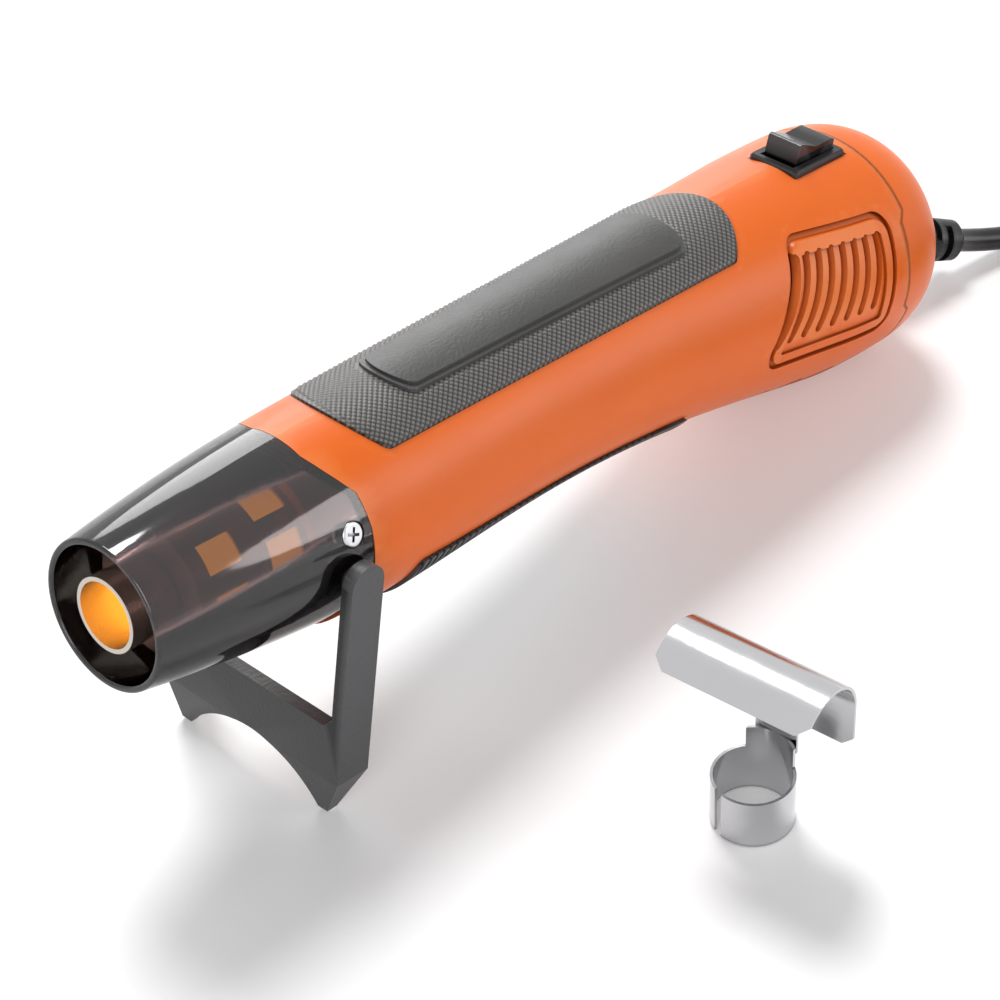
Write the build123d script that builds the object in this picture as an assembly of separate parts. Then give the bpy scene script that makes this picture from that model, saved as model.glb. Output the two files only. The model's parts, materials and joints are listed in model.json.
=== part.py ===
"""Embossing heat tool: a small hot-air gun on a folding stand, with a clip-on reflector nozzle.

The tool is drawn along its own axis first: X runs from the mouth of the front cover towards the cord,
Y is across and Z is up, with zero on the axis in the plane of the mouth. The last step tips it up on its
stand and puts it on the floor, nozzle towards -X, with the origin under the middle of the tool and the
reflector. The cord's route is in that last frame.
"""
import os
from math import atan2, cos, degrees, pi, radians, sin, sqrt, tan

from build123d import *

# Fits and clearances
FACE_GAP = 0.15
RUNNING_GAP = 0.05
SNUG_GAP = 0.02
SWING_GAP = 0.3

# Body stations: distance from the mouth, half width, height above the axis, depth below it
BODY_STATIONS = (
    (34.0, 19.6, 19.6, 19.6),
    (58.0, 21.0, 21.0, 21.0),
    (90.0, 21.0, 22.6, 18.8),
    (125.0, 21.4, 24.2, 18.4),
    (160.0, 23.4, 25.3, 21.8),
    (189.0, 26.2, 26.0, 26.2),
    (207.0, 27.2, 26.2, 27.4),
    (217.0, 27.0, 25.9, 27.3),
    (226.0, 24.8, 23.6, 25.4),
    (232.0, 19.6, 18.6, 20.6),
    (234.6, 13.6, 12.8, 15.0),
)
BODY_END = BODY_STATIONS[-1][0]
SECTION_POINTS = 12
SHELL_WALL = 2.2

# Seam between the smoked cover and the shells, in the side view
SEAM_TOP = 42.0
SEAM_TONGUE = 49.0
SEAM_BOTTOM = 44.0
TONGUE_HALF_HEIGHT = 6.5

# Seam between the shells and the rear cap
CAP_SEAM = 214.5
CAP_JOG = 2.0
CAP_JOG_TOP = 14.0
CAP_JOG_BOTTOM = -5.0
CAP_END_WALL = 3.0
CAP_SPIGOT = 3.6
CAP_SPIGOT_WALL = 1.6

# Smoked front cover
MOUTH_RADIUS = 15.2
COVER_MID_RADIUS = 18.5
COVER_WALL = 1.5

# Neck of the shells inside the cover
NECK_FRONT = 38.0
NECK_BACK = 54.0
NECK_WALL = 2.8

# Hot-air nozzle and heater
NOZZLE_RADIUS = 7.6
NOZZLE_WALL = 0.9
NOZZLE_RECESS = 0.6
NOZZLE_FLANGE_AT = 12.0
NOZZLE_FLANGE_THICK = 1.0
NOZZLE_FLANGE_RADIUS = 13.8
SHROUD_RADIUS = 13.2
SHROUD_WALL = 0.6
WINDOW_ROWS = (16.0, 30.0)
WINDOW_LENGTH = 8.0
WINDOW_WIDTH = 6.0
WINDOWS_PER_ROW = 8
SLEEVE_GAP = 0.2
SLEEVE_WALL = 0.4
CROSS_FRONT = 17.0
CROSS_THICK = 0.8
COIL_RADIUS = 9.2
COIL_WIRE = 0.7
COIL_TURNS = 9
BASE_THICK = 3.0
BASE_SPOKE = 4.0
CUTOUT_SIZE = (3.2, 5.0, 6.0)

# Fan and motor
FAN_FRONT = 58.5
FAN_LENGTH = 9.0
FAN_RADIUS = 15.4
FAN_HUB_RADIUS = 5.0
FAN_BLADES = 8
FAN_BLADE_THICK = 0.9
FAN_BLADE_ANGLE = 38.0
SHAFT_RADIUS = 1.15
BRACKET_AT = 70.0
BRACKET_THICK = 2.4
MOTOR_RADIUS = 12.2
MOTOR_LENGTH = 26.0
MOTOR_BOSS_RADIUS = 3.4
MOTOR_BOSS_LENGTH = 2.0
END_CAP_LENGTH = 5.0

# Supply board
BOARD_AT = 118.0
BOARD_LENGTH = 38.0
BOARD_TOP = -6.0
BOARD_THICK = 1.6
DIODE_RADIUS = 1.4
DIODE_LENGTH = 7.5
CAPACITOR_SIZE = (13.0, 6.0, 9.0)

# Shell screws, put in from the right side: distance from the mouth, height
SHELL_SCREW_SITES = ((111.0, 13.5), (111.0, -9.5), (168.0, -15.0))
SHELL_BOSS_RADIUS = 3.4
SHELL_SCREW_RADIUS = 1.3
SHELL_SCREW_HEAD = 2.5
SHELL_HEAD_DEPTH = 4.0

# Cover screws
COVER_SCREW_AT = 44.5
COVER_SCREW_HEIGHT = 6.9
COVER_SCREW_HEAD = 2.5
COVER_SCREW_HEAD_THICK = 1.3
COVER_SCREW_RADIUS = 1.2
COVER_SCREW_LENGTH = 5.6

# Top grip: knurled pad with a smooth raised panel
PAD_FRONT = 54.0
PAD_BACK = 170.0
PAD_CORNER_FRONT = 59.5
PAD_CORNER_BACK = 162.0
PAD_HALF_FRONT = 13.4
PAD_HALF_BACK = 15.4
PAD_SINK = 1.4
PAD_PROUD = 0.5
PANEL_FRONT = 69.5
PANEL_BACK = 154.0
PANEL_HALF_FRONT = 7.6
PANEL_HALF_BACK = 10.0
PANEL_BOW = 2.5
PANEL_RISE = 1.3

# Bottom grip with cross ribs
GRIP_FRONT = 59.0
GRIP_BACK = 146.0
GRIP_TOP_FRONT = -7.6
GRIP_TOP_BACK = -10.8
GRIP_SLANT_FRONT = 4.0
GRIP_SLANT_BACK = 9.0
GRIP_SINK = 1.4
GRIP_PROUD = 0.8
GRIP_RIB_PITCH = 2.0
GRIP_RIB_GAP = 0.8
GRIP_RIB_DEPTH = 0.7

# Side vents
VENT_SLOTS = 8
VENT_SLOT_WIDTH = 2.0
VENT_FIRST = ((168.5, 0.5), (173.6, 8.0), (177.8, 16.2))
VENT_LAST = ((200.2, -0.5), (202.3, 7.0), (203.6, 14.0))
PANEL_EDGE_FRONT = ((163.8, -6.0), (177.6, 20.4))
PANEL_EDGE_BACK = ((206.4, -8.6), (209.0, 18.0))
VENT_CORNER = 4.5
VENT_GROOVE_WIDTH = 1.5
VENT_GROOVE_DEPTH = 0.9
VENT_FIELD_MARGIN = 2.2
VENT_FIELD_DEPTH = 0.6

# Slanted decoration grooves along the lower rear edge
SLASH_COUNT = 5
SLASH_FIRST = 160.0
SLASH_STEP = 9.6
SLASH_LENGTH = 15.0
SLASH_WIDTH = 0.8
SLASH_DEPTH = 0.5
SLASH_DROP = 18.5

# Rocker switch
SWITCH_AT = 202.0
SWITCH_LENGTH = 16.6
SWITCH_WIDTH = 11.4
SWITCH_DEPTH = 12.0
BEZEL_BORDER = 0.9
BEZEL_THICK = 1.5
BEZEL_SEAT = 25.2
ROCKER_LENGTH = 13.2
ROCKER_HALF_WIDTH = 4.3
ROCKER_RISE = 5.9
ROCKER_DISH = 1.3
ROCKER_TILT = 10.0
ROCKER_PIVOT_HEIGHT = 24.6
ROCKER_PIN = 1.2
TERMINAL_SIZE = (0.8, 4.8, 7.0)

# Strain relief
RELIEF_HEIGHT = -7.0
RELIEF_TILT = 12.0
RELIEF_YAW = -20.0
RELIEF_LENGTH = 27.0
RELIEF_COLLAR_RADIUS = 6.9
RELIEF_COLLAR_THICK = 2.0
RELIEF_BASE_RADIUS = 6.3
RELIEF_TIP_RADIUS = 4.9
RELIEF_NECK_RADIUS = 4.8
RELIEF_SLOTS = 5
RELIEF_SLOT_FIRST = 6.0
RELIEF_SLOT_PITCH = 3.8
RELIEF_SLOT_WIDTH = 1.9
RELIEF_SLOT_DEPTH = 1.5
RELIEF_BRIDGE = 4.0

# Cord: the free stretch's points on the floor, and the ring that its spare length fills when coiled
CORD_DIAMETER = 5.6
CORD_FLOOR_GAP = 0.1
CORD_ROUTE = ((154.0, 17.5), (175.0, 6.0), (193.5, -10.5), (205.0, -31.5), (205.0, -51.5))
COIL_PITCH = 6.05
COIL_LAYER_TURNS = 4
COIL_LAYERS = 2
COIL_INNER = 20.9
COIL_CLEARANCE = 0.3
COIL_ROUNDING = 2.5
COIL_TOP_STEP = 0.3
COIL_LEAD = 28.0

# Cord clamp inside the cap
CLAMP_SIZE = (7.0, 14.0, 9.0)
CLAMP_INSET = 3.0
CLAMP_SCREW_RADIUS = 0.9
CLAMP_SCREW_SPREAD = 5.0
CLAMP_SCREW_LENGTH = 13.0

# Plug
PLUG_GRIP = (18.0, 24.0)
PLUG_TAIL_LENGTH = 15.0
PLUG_TAIL_RADIUS = 4.6
BLADE_SIZE = (17.0, 1.5, 6.3)
BLADE_ROOT = 6.0
BLADE_SPREAD = 12.7
BLADE_HOLE = 1.5

# Stand
PIVOT_AT = 43.5
PIVOT_HEIGHT = -1.6
PIN_RADIUS = 2.4
LEG_WIDTH = 8.4
LEG_THICK = 2.8
LEG_GAP = 21.6
STAND_DROP = 53.4
STAND_LEAN = 2.2
BAR_DROP = 32.4
BAR_THICK = 2.8
ARCH_RISE = 9.6
FOOT_TUCK = 3.6
FOOT_LAND = 2.6
FOOT_HEEL_DROP = 9.0

# Reflector nozzle
SHEET = 0.6
CLIP_GAP = 0.1
CLIP_HEIGHT = 11.2
CLIP_SLIT = 2.0
NECK_PLATE_WIDTH = 9.4
NECK_PLATE_HEIGHT = 10.6
HOOD_WIDTH = 34.0
HOOD_BACK = 11.0
HOOD_RADIUS = 9.4
HOOD_SWEEP = 150.0
HOOD_CHAMFER = 2.4
BEAD_WIDTH = 2.6
BEAD_LENGTH = 11.0
REFLECTOR_AT = (82.0, -84.6)
REFLECTOR_TURN = 4.5


FORMS = {}


def cover_arc():
    """Outer line of the cover in the XZ half plane, from the mouth to its back edge."""
    (near, near_radius, *_), (far, far_radius, *_) = BODY_STATIONS[:2]
    share = (SEAM_TONGUE - near) / (far - near)
    back = near_radius + share * (far_radius - near_radius)
    return (0, MOUTH_RADIUS), (SEAM_TONGUE / 2, COVER_MID_RADIUS), (SEAM_TONGUE, back)


def revolved(points):
    """Solid of revolution about the tool's axis from (distance, radius) points."""
    outline = Polyline(*[(x, 0, r) for x, r in points], close=True)
    return revolve(make_face(outline), Axis.X)


def ring(start, end, outer, inner):
    """Plain tube along the tool's axis."""
    return revolved(((start, inner), (end, inner), (end, outer), (start, outer)))


def rod(start, end, radius):
    """Plain round bar along the tool's axis."""
    return Pos(start, 0, 0) * Rot(0, 90, 0) * Cylinder(
        radius, end - start, align=(Align.CENTER, Align.CENTER, Align.MIN)
    )


def body_form(grow=0.0):
    """Outer form of the body, grown or shrunk all round by a given amount."""
    if grow not in FORMS:
        turns = [2 * pi * n / SECTION_POINTS for n in range(SECTION_POINTS)]
        sections = []
        for x, half_width, above, below in BODY_STATIONS:
            centre = (above - below) / 2
            half_height = (above + below) / 2 + grow
            ring_of_points = [
                (x, (half_width + grow) * cos(turn), centre + half_height * sin(turn)) for turn in turns
            ]
            sections.append(make_face(Spline(*ring_of_points, periodic=True)))
        FORMS[grow] = loft(sections)
    return FORMS[grow]


def section_at(x):
    """Half width, height and depth of the body between its stations, on a smooth curve."""
    for n in range(1, len(BODY_STATIONS) - 2):
        if x <= BODY_STATIONS[n + 1][0]:
            break
    around_x = BODY_STATIONS[n - 1:n + 3]
    sizes = []
    for size in (1, 2, 3):
        total = 0.0
        for i, station in enumerate(around_x):
            weight = station[size]
            for j, other in enumerate(around_x):
                if i != j:
                    weight *= (x - other[0]) / (station[0] - other[0])
            total += weight
        sizes.append(total)
    return sizes


def slab(start, end, reach=60.0):
    """Everything between two cross sections of the tool."""
    return Pos((start + end) / 2, 0, 0) * Box(end - start, reach, reach)


def side_cut(points, reach=60.0):
    """Prism across the tool from a closed outline in the side view."""
    return extrude(make_face(Polyline(*[(x, 0, z) for x, z in points], close=True)), reach / 2, both=True,
                   dir=(0, 1, 0))


def top_cut(outline, low, high):
    """Prism up through the tool from a face in the top view."""
    return extrude(Pos(0, 0, low) * outline, high - low)


def half(side, reach=400.0):
    """Space on one side of the middle plane: -1 is the left of the tool, +1 the right."""
    return Pos(reach / 2 - 50, side * reach / 4, 0) * Box(reach, reach / 2, reach)


def seam_front():
    """Space that belongs to the cover, seen from the side: a tongue runs back along each flank."""
    shoulder = TONGUE_HALF_HEIGHT * 2
    return side_cut((
        (-20, 40), (SEAM_TOP, 40), (SEAM_TOP + 0.6, 19), (SEAM_TONGUE - 0.8, shoulder),
        (SEAM_TONGUE, TONGUE_HALF_HEIGHT), (SEAM_TONGUE, -TONGUE_HALF_HEIGHT),
        (SEAM_BOTTOM, -shoulder - 4), (SEAM_BOTTOM - 0.5, -40), (-20, -40),
    ))


def seam_back():
    """Space that belongs to the rear cap, with a small step forward on each flank."""
    jog = CAP_SEAM - CAP_JOG
    return side_cut((
        (CAP_SEAM, 40), (CAP_SEAM, CAP_JOG_TOP + CAP_JOG), (jog, CAP_JOG_TOP), (jog, CAP_JOG_BOTTOM),
        (CAP_SEAM, CAP_JOG_BOTTOM - CAP_JOG), (CAP_SEAM, -40), (260, -40), (260, 40),
    ))


def rounded(points, radius):
    """Closed face in the side view with round corners."""
    outline = make_face(Polyline(*points, close=True))
    return fillet(outline.vertices(), radius)


def vent_field(margin):
    """Shield-shaped outline of the vent panel, drawn in by a margin."""
    (fx0, fz0), (fx1, fz1) = PANEL_EDGE_FRONT
    (bx0, bz0), (bx1, bz1) = PANEL_EDGE_BACK
    field = rounded(((fx0, fz0), (bx0, bz0), (bx1, bz1), (fx1, fz1)), VENT_CORNER)
    return offset(field, -margin, kind=Kind.ARC) if margin else field


def vent_slots():
    """Faces of the curved slots, each between the first and the last one's line."""
    faces = []
    for n in range(VENT_SLOTS):
        share = n / (VENT_SLOTS - 1)
        line = [
            tuple(a + share * (b - a) for a, b in zip(first, last))
            for first, last in zip(VENT_FIRST, VENT_LAST)
        ]
        faces.append(SlotArc(ThreePointArc(*line), VENT_SLOT_WIDTH))
    return faces


def pad_outline(front, back, corner_front, corner_back, half_front, half_back, shrink=0.0):
    """Face of a top pad in the top view: straight flanks and bowed ends."""
    front_left = (corner_front + shrink, -half_front + shrink)
    front_right = (corner_front + shrink, half_front - shrink)
    back_left = (corner_back - shrink, -half_back + shrink)
    back_right = (corner_back - shrink, half_back - shrink)
    outline = [
        ThreePointArc(front_left, (front + shrink, 0), front_right),
        Line(front_right, back_right),
        ThreePointArc(back_right, (back - shrink, 0), back_left),
        Line(back_left, front_left),
    ]
    face = make_face(outline)
    return fillet(face.vertices(), 2.5)


def pad_face(shrink=0.0):
    return pad_outline(PAD_FRONT, PAD_BACK, PAD_CORNER_FRONT, PAD_CORNER_BACK,
                       PAD_HALF_FRONT, PAD_HALF_BACK, shrink)


def panel_face(shrink=0.0):
    return pad_outline(PANEL_FRONT, PANEL_BACK, PANEL_FRONT + PANEL_BOW, PANEL_BACK - PANEL_BOW,
                       PANEL_HALF_FRONT, PANEL_HALF_BACK, shrink)


def grip_space(shrink=0.0):
    """Prism of the bottom grip from its outline in the side view."""
    return side_cut((
        (GRIP_FRONT + GRIP_SLANT_FRONT + shrink, GRIP_TOP_FRONT - shrink),
        (GRIP_BACK - shrink, GRIP_TOP_BACK - shrink),
        (GRIP_BACK - GRIP_SLANT_BACK - shrink, -40),
        (GRIP_FRONT - GRIP_SLANT_FRONT + shrink, -40),
    ))


def around(angle, shape):
    """Turn a piece drawn on the right flank around the tool's axis."""
    return Rot(angle, 0, 0) * shape


def cross_rod(x, z, start, end, radius):
    """Round bar across the tool, from one Y to another."""
    return Pos(x, start, z) * Rot(-90, 0, 0) * Cylinder(
        radius, end - start, align=(Align.CENTER, Align.CENTER, Align.MIN)
    )


def neck_radius():
    """Outer radius of the neck, a face gap inside the cover's wall at its narrowest."""
    _, (x1, r1), (x2, r2) = cover_arc()
    at_front = r1 + (NECK_FRONT - x1) / (x2 - x1) * (r2 - r1)
    return at_front - COVER_WALL - FACE_GAP


def cover_screw_angle():
    """Angle above the side at which the cover screws stand."""
    return degrees(atan2(COVER_SCREW_HEIGHT, sqrt(cover_arc()[2][1] ** 2 - COVER_SCREW_HEIGHT ** 2)))


def cover_screw_seat():
    """Radius at which the head of a cover screw bears on the cover."""
    return cover_arc()[2][1] - 1.4


def relief_wall():
    """Frame of the cord's way out, X along it, on the inner face of the rear wall."""
    return Pos(BODY_END - CAP_END_WALL, 0, RELIEF_HEIGHT)


def through_flank(face):
    """Prism out through the left flank from a face drawn in the side view."""
    return extrude(Plane.XZ * face, 40, dir=(0, -1, 0))


def vent_cuts():
    """Groove round the vent panel, its sunk field, the slots and the slanted grooves below."""
    outline = vent_field(0)
    groove = through_flank(outline - vent_field(VENT_GROOVE_WIDTH)) - body_form(-VENT_GROOVE_DEPTH)
    field = through_flank(vent_field(VENT_GROOVE_WIDTH + VENT_FIELD_MARGIN)) - body_form(-VENT_FIELD_DEPTH)
    slots = [through_flank(face) for face in vent_slots()]
    floor = body_form(-SLASH_DEPTH)
    slashes = []
    for n in range(SLASH_COUNT):
        x = SLASH_FIRST + n * SLASH_STEP
        slash = Pos(x, -20, -SLASH_DROP) * Rot(0, -12, 0) * Box(SLASH_LENGTH, 20, SLASH_WIDTH)
        slashes.append(slash - floor)
    return [groove, field, *slots, *slashes]


def switch_cuts():
    """Shallow pocket for the bezel and the opening for the switch."""
    border = 2 * (BEZEL_BORDER + FACE_GAP)
    pocket = Pos(SWITCH_AT, 0, BEZEL_SEAT) * Box(
        SWITCH_LENGTH + border, SWITCH_WIDTH + border, 10, align=(Align.CENTER, Align.CENTER, Align.MIN))
    opening = Pos(SWITCH_AT, 0, 20) * Box(SWITCH_LENGTH + 2 * FACE_GAP, SWITCH_WIDTH + 2 * FACE_GAP, 30)
    return [pocket, opening]


def make_shells():
    """Left and right half of the orange body: one flank, mirrored, then the screws' holes."""
    outer = body_form()
    inner = body_form(-SHELL_WALL)
    neck = neck_radius()
    other_side = half(1)
    wall = outer - [inner, seam_front(), seam_back(), other_side]
    web = (inner & slab(NECK_BACK - BASE_THICK - 1.0, NECK_BACK)) - other_side
    bosses = [cross_rod(x, z, -30, 0, SHELL_BOSS_RADIUS) & inner for x, z in SHELL_SCREW_SITES]
    wall = wall + [web, rod(NECK_FRONT, NECK_BACK, neck) - other_side, *bosses]
    pilot = cross_rod(COVER_SCREW_AT, 0, 0, 30, COVER_SCREW_RADIUS + SNUG_GAP)
    pad_space = top_cut(pad_face(), 0, 40) - body_form(-PAD_SINK)
    left = wall - [
        rod(NECK_FRONT - 1, NECK_BACK + 1, neck - NECK_WALL),
        pad_space,
        grip_space() - body_form(-GRIP_SINK),
        cross_rod(PIVOT_AT, PIVOT_HEIGHT, -30, 0, PIN_RADIUS + RUNNING_GAP),
        mirror(around(cover_screw_angle(), pilot), Plane.XZ),
        *vent_cuts(),
        *switch_cuts(),
    ]
    right = mirror(left, Plane.XZ)
    left_holes = []
    right_holes = []
    for x, z in SHELL_SCREW_SITES:
        left_holes.append(cross_rod(x, z, -12, 0, SHELL_SCREW_RADIUS + SNUG_GAP))
        right_holes.append(cross_rod(x, z, 0, SHELL_HEAD_DEPTH, SHELL_SCREW_RADIUS + SNUG_GAP))
        right_holes.append(cross_rod(x, z, SHELL_HEAD_DEPTH, 40, SHELL_SCREW_HEAD + FACE_GAP))
    return left - left_holes, right - right_holes


def clamp_space():
    """Block taken up by the cord clamp inside the cap."""
    return relief_wall() * Pos(-CLAMP_INSET, 0, 0) * Box(
        *CLAMP_SIZE, align=(Align.MAX, Align.CENTER, Align.CENTER))


def clamp_screws(radius):
    """Bars through the clamp's two screw holes."""
    x = BODY_END - CAP_END_WALL - CLAMP_INSET - CLAMP_SIZE[0] / 2
    top = RELIEF_HEIGHT + CLAMP_SIZE[2] / 2
    return [
        Pos(x, side * CLAMP_SCREW_SPREAD, top) * Cylinder(
            radius, CLAMP_SCREW_LENGTH, align=(Align.CENTER, Align.CENTER, Align.MAX))
        for side in (-1, 1)
    ]


def make_rear_cap():
    """Domed rear cap with a spigot into the shells, the cord's hole and a pedestal for its clamp."""
    outer = body_form() & seam_back()
    hollow = body_form(-SHELL_WALL) & slab(150, BODY_END - CAP_END_WALL)
    spigot = body_form(-SHELL_WALL - FACE_GAP) & slab(CAP_SEAM - CAP_SPIGOT, CAP_SEAM + 3)
    spigot -= body_form(-SHELL_WALL - FACE_GAP - CAP_SPIGOT_WALL)
    length, width, height = CLAMP_SIZE
    pedestal = relief_wall() * Pos(-CLAMP_INSET, 0, -height / 2) * Box(
        length, width, 30, align=(Align.MAX, Align.CENTER, Align.MAX))
    cap = (outer - hollow) + [spigot, pedestal & body_form(-SHELL_WALL / 2)]
    way_out = relief_wall() * rod(-1, CAP_END_WALL + 1, RELIEF_NECK_RADIUS + FACE_GAP)
    return cap - [way_out, *clamp_screws(CLAMP_SCREW_RADIUS + SNUG_GAP)]


def make_cord_clamp():
    """Two-screw saddle that grips the cord inside the cap."""
    block = clamp_space()
    block = fillet(block.edges().filter_by(Axis.X).group_by(Axis.Z)[-1], 1.5)
    cord_hole = relief_wall() * rod(-30, 0, CORD_DIAMETER / 2 + SNUG_GAP)
    return block - [cord_hole, *clamp_screws(CLAMP_SCREW_RADIUS + SNUG_GAP)]


def make_clamp_screws():
    """Round-head screws that hold the saddle down."""
    heads = clamp_screws(2 * CLAMP_SCREW_RADIUS)
    shanks = clamp_screws(CLAMP_SCREW_RADIUS)
    cap = Pos(0, 0, RELIEF_HEIGHT + CLAMP_SIZE[2] / 2) * Box(
        500, 60, 1.2, align=(Align.CENTER, Align.CENTER, Align.MIN))
    return [shank + ((Pos(0, 0, 1.2) * head) & cap) for head, shank in zip(heads, shanks)]


def make_cover():
    """Smoked cover: a bulged cone with an open mouth and a tongue on each flank."""
    start, mid, end = cover_arc()
    outer_line = ThreePointArc((start[0], 0, start[1]), (mid[0], 0, mid[1]), (end[0], 0, end[1]))
    inner_line = ThreePointArc((end[0], 0, end[1] - COVER_WALL), (mid[0], 0, mid[1] - COVER_WALL),
                               (start[0], 0, start[1] - COVER_WALL))
    outline = [
        outer_line,
        Line(outer_line @ 1, inner_line @ 0),
        inner_line,
        Line(inner_line @ 1, outer_line @ 0),
    ]
    cover = revolve(make_face(outline), Axis.X)
    rim = cover.edges().filter_by(GeomType.CIRCLE).sort_by(Axis.X)[:2]
    cover = fillet(rim, COVER_WALL * 0.4)
    cover &= seam_front()
    turn = cover_screw_angle()
    seat = cover_screw_seat()
    for side in (-1, 1):
        cover -= cross_rod(
            PIVOT_AT, PIVOT_HEIGHT, min(0, side * 30), max(0, side * 30), PIN_RADIUS + FACE_GAP)
        shank = cross_rod(COVER_SCREW_AT, 0, 0, 30, COVER_SCREW_RADIUS + FACE_GAP)
        head = cross_rod(COVER_SCREW_AT, 0, seat, 30, COVER_SCREW_HEAD + FACE_GAP)
        for cut in (shank, head):
            cover -= around(turn, cut) if side > 0 else mirror(around(turn, cut), Plane.XZ)
    return cover


def make_cover_screws():
    """Pan-head screws with a cross recess, one on each flank."""
    seat = cover_screw_seat()
    head = cross_rod(COVER_SCREW_AT, 0, seat, seat + COVER_SCREW_HEAD_THICK, COVER_SCREW_HEAD)
    head = fillet(head.edges().filter_by(GeomType.CIRCLE).sort_by(Axis.Y)[-1], 0.5)
    for angle in (0, 90):
        head -= Pos(COVER_SCREW_AT, seat + COVER_SCREW_HEAD_THICK, 0) * Rot(0, angle + 20, 0) * Box(
            2.9, 1.4, 0.6)
    screw = head + cross_rod(COVER_SCREW_AT, 0, seat - COVER_SCREW_LENGTH, seat, COVER_SCREW_RADIUS)
    screw = around(cover_screw_angle(), screw)
    return [screw, mirror(screw, Plane.XZ)]


def make_nozzle():
    """Thin steel outlet tube with the round flange that closes the heater's front."""
    flange_end = NOZZLE_FLANGE_AT + NOZZLE_FLANGE_THICK
    bore = NOZZLE_RADIUS - NOZZLE_WALL
    return revolved((
        (NOZZLE_RECESS, bore), (NOZZLE_RECESS, NOZZLE_RADIUS), (NOZZLE_FLANGE_AT, NOZZLE_RADIUS),
        (NOZZLE_FLANGE_AT, NOZZLE_FLANGE_RADIUS), (flange_end, NOZZLE_FLANGE_RADIUS),
        (flange_end, bore),
    ))


def shroud_start():
    return NOZZLE_FLANGE_AT + NOZZLE_FLANGE_THICK


def base_front():
    return NECK_BACK - BASE_THICK


def make_shroud():
    """Steel heat shield around the heater, pierced by two rows of windows."""
    tube = ring(shroud_start(), base_front(), SHROUD_RADIUS, SHROUD_RADIUS - SHROUD_WALL)
    for row, start in enumerate(WINDOW_ROWS):
        for n in range(WINDOWS_PER_ROW):
            angle = 360 / WINDOWS_PER_ROW * (n + row / 2)
            tube -= Rot(angle, 0, 0) * Pos(start + WINDOW_LENGTH / 2, 0, SHROUD_RADIUS) * Box(
                WINDOW_LENGTH, WINDOW_WIDTH, 6)
    return tube


def make_sleeve():
    """Mica sleeve inside the shield."""
    outer = SHROUD_RADIUS - SHROUD_WALL - SLEEVE_GAP
    return ring(shroud_start() + SLEEVE_GAP, base_front(), outer, outer - SLEEVE_WALL)


def cross_half_width():
    return COIL_RADIUS - COIL_WIRE / 2 - RUNNING_GAP


def make_cross():
    """Two crossed mica boards that carry the heating wire."""
    length = base_front() - CROSS_FRONT
    plate = Pos(CROSS_FRONT, 0, 0) * Box(length, 2 * cross_half_width(), CROSS_THICK,
                                         align=(Align.MIN, Align.CENTER, Align.CENTER))
    return plate + Rot(90, 0, 0) * plate


def make_coil():
    """Heating wire wound round the crossed boards."""
    length = base_front() - CROSS_FRONT - 6
    path = Helix(length / COIL_TURNS, length, COIL_RADIUS)
    section = Plane(origin=path @ 0, z_dir=path % 0) * Circle(COIL_WIRE / 2)
    wire = sweep(section, path)
    return Pos(CROSS_FRONT + 3, 0, 0) * Rot(0, 90, 0) * wire


def base_radius():
    return neck_radius() - NECK_WALL - FACE_GAP


def make_base():
    """Ceramic spider that seats the heater in the neck and lets the air through."""
    base = ring(
        base_front(), NECK_BACK, base_radius(), SHROUD_RADIUS - SHROUD_WALL - SLEEVE_GAP - SLEEVE_WALL)
    for angle in (0, 90):
        base += Rot(angle, 0, 0) * Pos(base_front(), 0, 0) * Box(
            BASE_THICK, 2 * SHROUD_RADIUS - 1, BASE_SPOKE, align=(Align.MIN, Align.CENTER, Align.CENTER))
    return base


def make_cutout():
    """Thermal cut-out on the back of the spider."""
    body = Pos(NECK_BACK, 0, 9.0) * Box(*CUTOUT_SIZE, align=(Align.MIN, Align.CENTER, Align.CENTER))
    return fillet(body.edges().filter_by(Axis.X), 0.8)


def make_fan():
    """Axial impeller: pitched blades on a hub."""
    back = FAN_FRONT + FAN_LENGTH
    hub = rod(FAN_FRONT, back, FAN_HUB_RADIUS)
    hub = fillet(hub.edges().filter_by(GeomType.CIRCLE).sort_by(Axis.X)[0], 1.5)
    span = FAN_RADIUS + 2
    blade = Pos((FAN_FRONT + back) / 2, 0, 0) * Rot(0, 0, FAN_BLADE_ANGLE) * Box(
        FAN_LENGTH * 1.3, FAN_BLADE_THICK, span, align=(Align.CENTER, Align.CENTER, Align.MIN))
    limits = ring(FAN_FRONT + 0.6, back - 0.6, FAN_RADIUS, FAN_HUB_RADIUS - 0.6)
    fan = hub
    for n in range(FAN_BLADES):
        fan += (Rot(360 / FAN_BLADES * n, 0, 0) * blade) & limits
    return fan - rod(FAN_FRONT - 1, back + 1, SHAFT_RADIUS + SNUG_GAP)


def motor_start():
    return BRACKET_AT + BRACKET_THICK


def motor_end():
    return motor_start() + MOTOR_LENGTH


def make_shaft():
    """Motor shaft, from the fan's hub to the motor's end cap."""
    return rod(FAN_FRONT - 0.5, motor_end() + END_CAP_LENGTH + 1, SHAFT_RADIUS)


def make_bracket():
    """Web that carries the motor in the shells, open for the air."""
    web = body_form(-SHELL_WALL - FACE_GAP) & slab(BRACKET_AT, motor_start())
    web -= rod(BRACKET_AT - 1, motor_start() + 1, MOTOR_BOSS_RADIUS + FACE_GAP)
    vents = ring(BRACKET_AT - 1, motor_start() + 1, 16.0, 12.8)
    for angle in (45, 135):
        vents -= Rot(angle, 0, 0) * slab(0, 200) & Rot(angle, 0, 0) * Pos(100, 0, 0) * Box(200, 5, 60)
    return web - vents


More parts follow.
